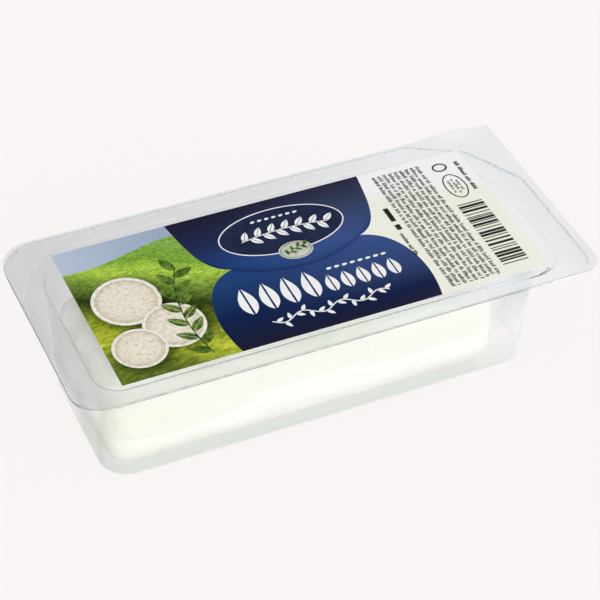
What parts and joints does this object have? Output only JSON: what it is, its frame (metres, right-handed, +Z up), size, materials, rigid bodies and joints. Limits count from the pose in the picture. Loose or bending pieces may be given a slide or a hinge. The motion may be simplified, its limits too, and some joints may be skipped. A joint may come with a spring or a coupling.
{
  "type": "goat cheese log pack",
  "caption": "Clear plastic tray with a wide flange and a printed clear peel film, sealed round a white log of fresh goat cheese.",
  "frame": {"origin": "under the middle of the pack, on the surface it rests on", "axes": "+X along the pack towards the peel tab's end, +Y towards the tab's long side, +Z up out of the film"},
  "size_m": [0.135, 0.061, 0.0328],
  "materials": {
    "tray_plastic": "clear, smooth, thermoformed",
    "fresh_cheese": "soft white cheese, moist and almost matte",
    "film": "clear, glossy, stretched flat",
    "meadow_print": "printed ink under gloss",
    "blue_print": "printed ink under gloss",
    "cream_print": "pale printed ink under gloss, almost opaque"
  },
  "bodies": {
    "root": {"tray": "tray_plastic", "cheese_log": "fresh_cheese", "lidding_film": "film", "print_meadow_field": "meadow_print", "print_blue_field": "blue_print", "print_cream_field": "cream_print"}
  },
  "joints": []
}
